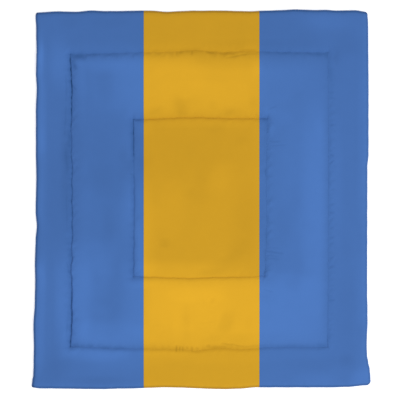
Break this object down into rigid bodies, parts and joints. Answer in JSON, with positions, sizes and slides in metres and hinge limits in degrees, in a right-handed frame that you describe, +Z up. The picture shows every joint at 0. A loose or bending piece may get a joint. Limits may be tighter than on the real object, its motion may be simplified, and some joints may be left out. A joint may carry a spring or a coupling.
{
  "type": "quilted comforter",
  "caption": "Filled bedding comforter laid out flat, quilted in an outer and an inner rectangle, with a blue face cloth and a straight gold stripe down its middle.",
  "frame": {"origin": "under the middle of the comforter's outline, on the surface that it lies on", "axes": "+Z up out of the face cloth, +Y along the length to the head end, +X across to the right side seen from above"},
  "size_m": [2.0532, 2.3016, 0.042],
  "materials": {
    "printed_cloth": "matte woven microfibre, printed blue with a gold stripe"
  },
  "bodies": {
    "root": {"comforter": "printed_cloth"}
  },
  "joints": []
}
